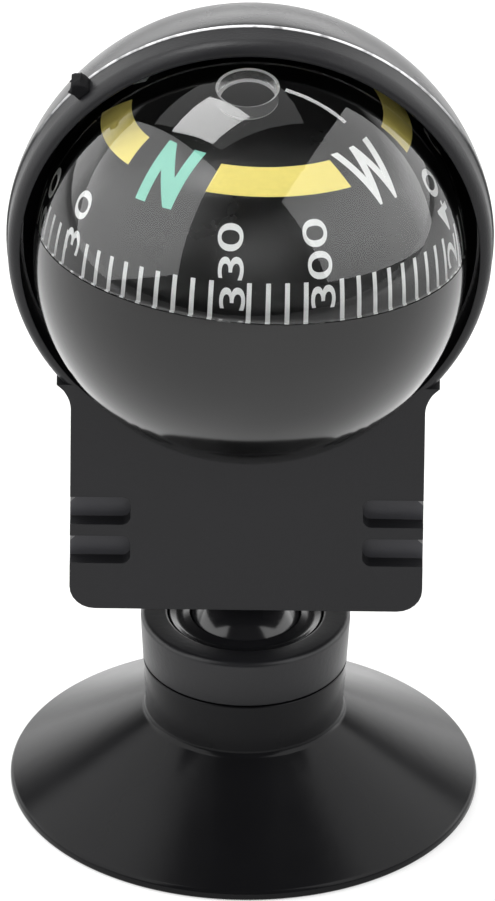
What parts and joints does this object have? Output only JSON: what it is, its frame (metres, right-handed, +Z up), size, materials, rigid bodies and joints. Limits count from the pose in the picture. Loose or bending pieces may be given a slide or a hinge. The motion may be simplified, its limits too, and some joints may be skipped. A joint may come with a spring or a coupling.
{
  "type": "car dashboard compass",
  "caption": "Liquid-filled ball compass in a hooded plastic case, on a ball joint above a suction cup.",
  "frame": {"origin": "on the surface that the suction cup stands on, under the middle of the whole object", "axes": "+Z up through the capsule; the dial and the front of the case face -Y; +X is to the right of someone reading the dial"},
  "size_m": [0.04, 0.0446, 0.075],
  "materials": {
    "cup_rubber": "smooth black soft plastic with a low gloss",
    "socket_plastic": "black moulded plastic, satin",
    "liner_plastic": "slippery black plastic, half gloss",
    "case_plastic": "fine spark-eroded black plastic",
    "hood_plastic": "satin black plastic",
    "seat_foam": "foam rubber",
    "bowl_plastic": "polished black plastic",
    "clear_plastic": "polished clear plastic",
    "gasket_rubber": "soft black rubber",
    "brass": "turned brass",
    "steel": "plain steel",
    "jewel": "polished red jewel",
    "card_plastic": "black printed card",
    "float_plastic": "off-white moulded float",
    "magnet_steel": "dark sintered magnet"
  },
  "bodies": {
    "base": {"suction_cup": "cup_rubber", "socket_collar": "socket_plastic"},
    "swivel": {"socket_liner": "liner_plastic"},
    "stud": {"ball_stud": "socket_plastic", "stud_washer": "steel", "stud_screw": "steel"},
    "head": {"front_bezel": "case_plastic", "rear_hood": "hood_plastic", "capsule_seat": "seat_foam", "lower_bowl": "bowl_plastic", "clear_dome": "clear_plastic", "dome_gasket": "gasket_rubber", "fill_plug": "gasket_rubber", "pivot_post": "brass", "pivot_needle": "steel"},
    "jewel": {"jewel_cup": "jewel"},
    "holder": {"jewel_holder": "brass"},
    "card": {"dial_card": "card_plastic", "card_float": "float_plastic", "magnet_left": "magnet_steel", "magnet_right": "magnet_steel"}
  },
  "joints": [
    {"name": "ball_swivel", "type": "hinge", "parent": "base", "child": "swivel", "pos_m": [0, 0.00295, 0.0141], "axis": [0, 0, 1], "continuous": true},
    {"name": "ball_tilt", "type": "hinge", "parent": "swivel", "child": "stud", "pos_m": [0, 0.00295, 0.0141], "axis": [1, 0, 0], "range_deg": [-25, 25]},
    {"name": "ball_twist", "type": "hinge", "parent": "stud", "child": "head", "pos_m": [0, 0.00295, 0.0141], "axis": [0, 0, 1], "continuous": true},
    {"name": "card_pitch", "type": "hinge", "parent": "head", "child": "jewel", "pos_m": [0.00031, -0.00392, 0.06089], "axis": [1, 0, 0], "range_deg": [-6, 14]},
    {"name": "card_roll", "type": "hinge", "parent": "jewel", "child": "holder", "pos_m": [0.00031, -0.00392, 0.06089], "axis": [0, 0.9848, -0.1736], "range_deg": [-10, 10]},
    {"name": "card_spin", "type": "hinge", "parent": "holder", "child": "card", "pos_m": [0.00031, -0.00392, 0.06089], "axis": [0.0523, 0.1734, 0.9835], "continuous": true}
  ]
}
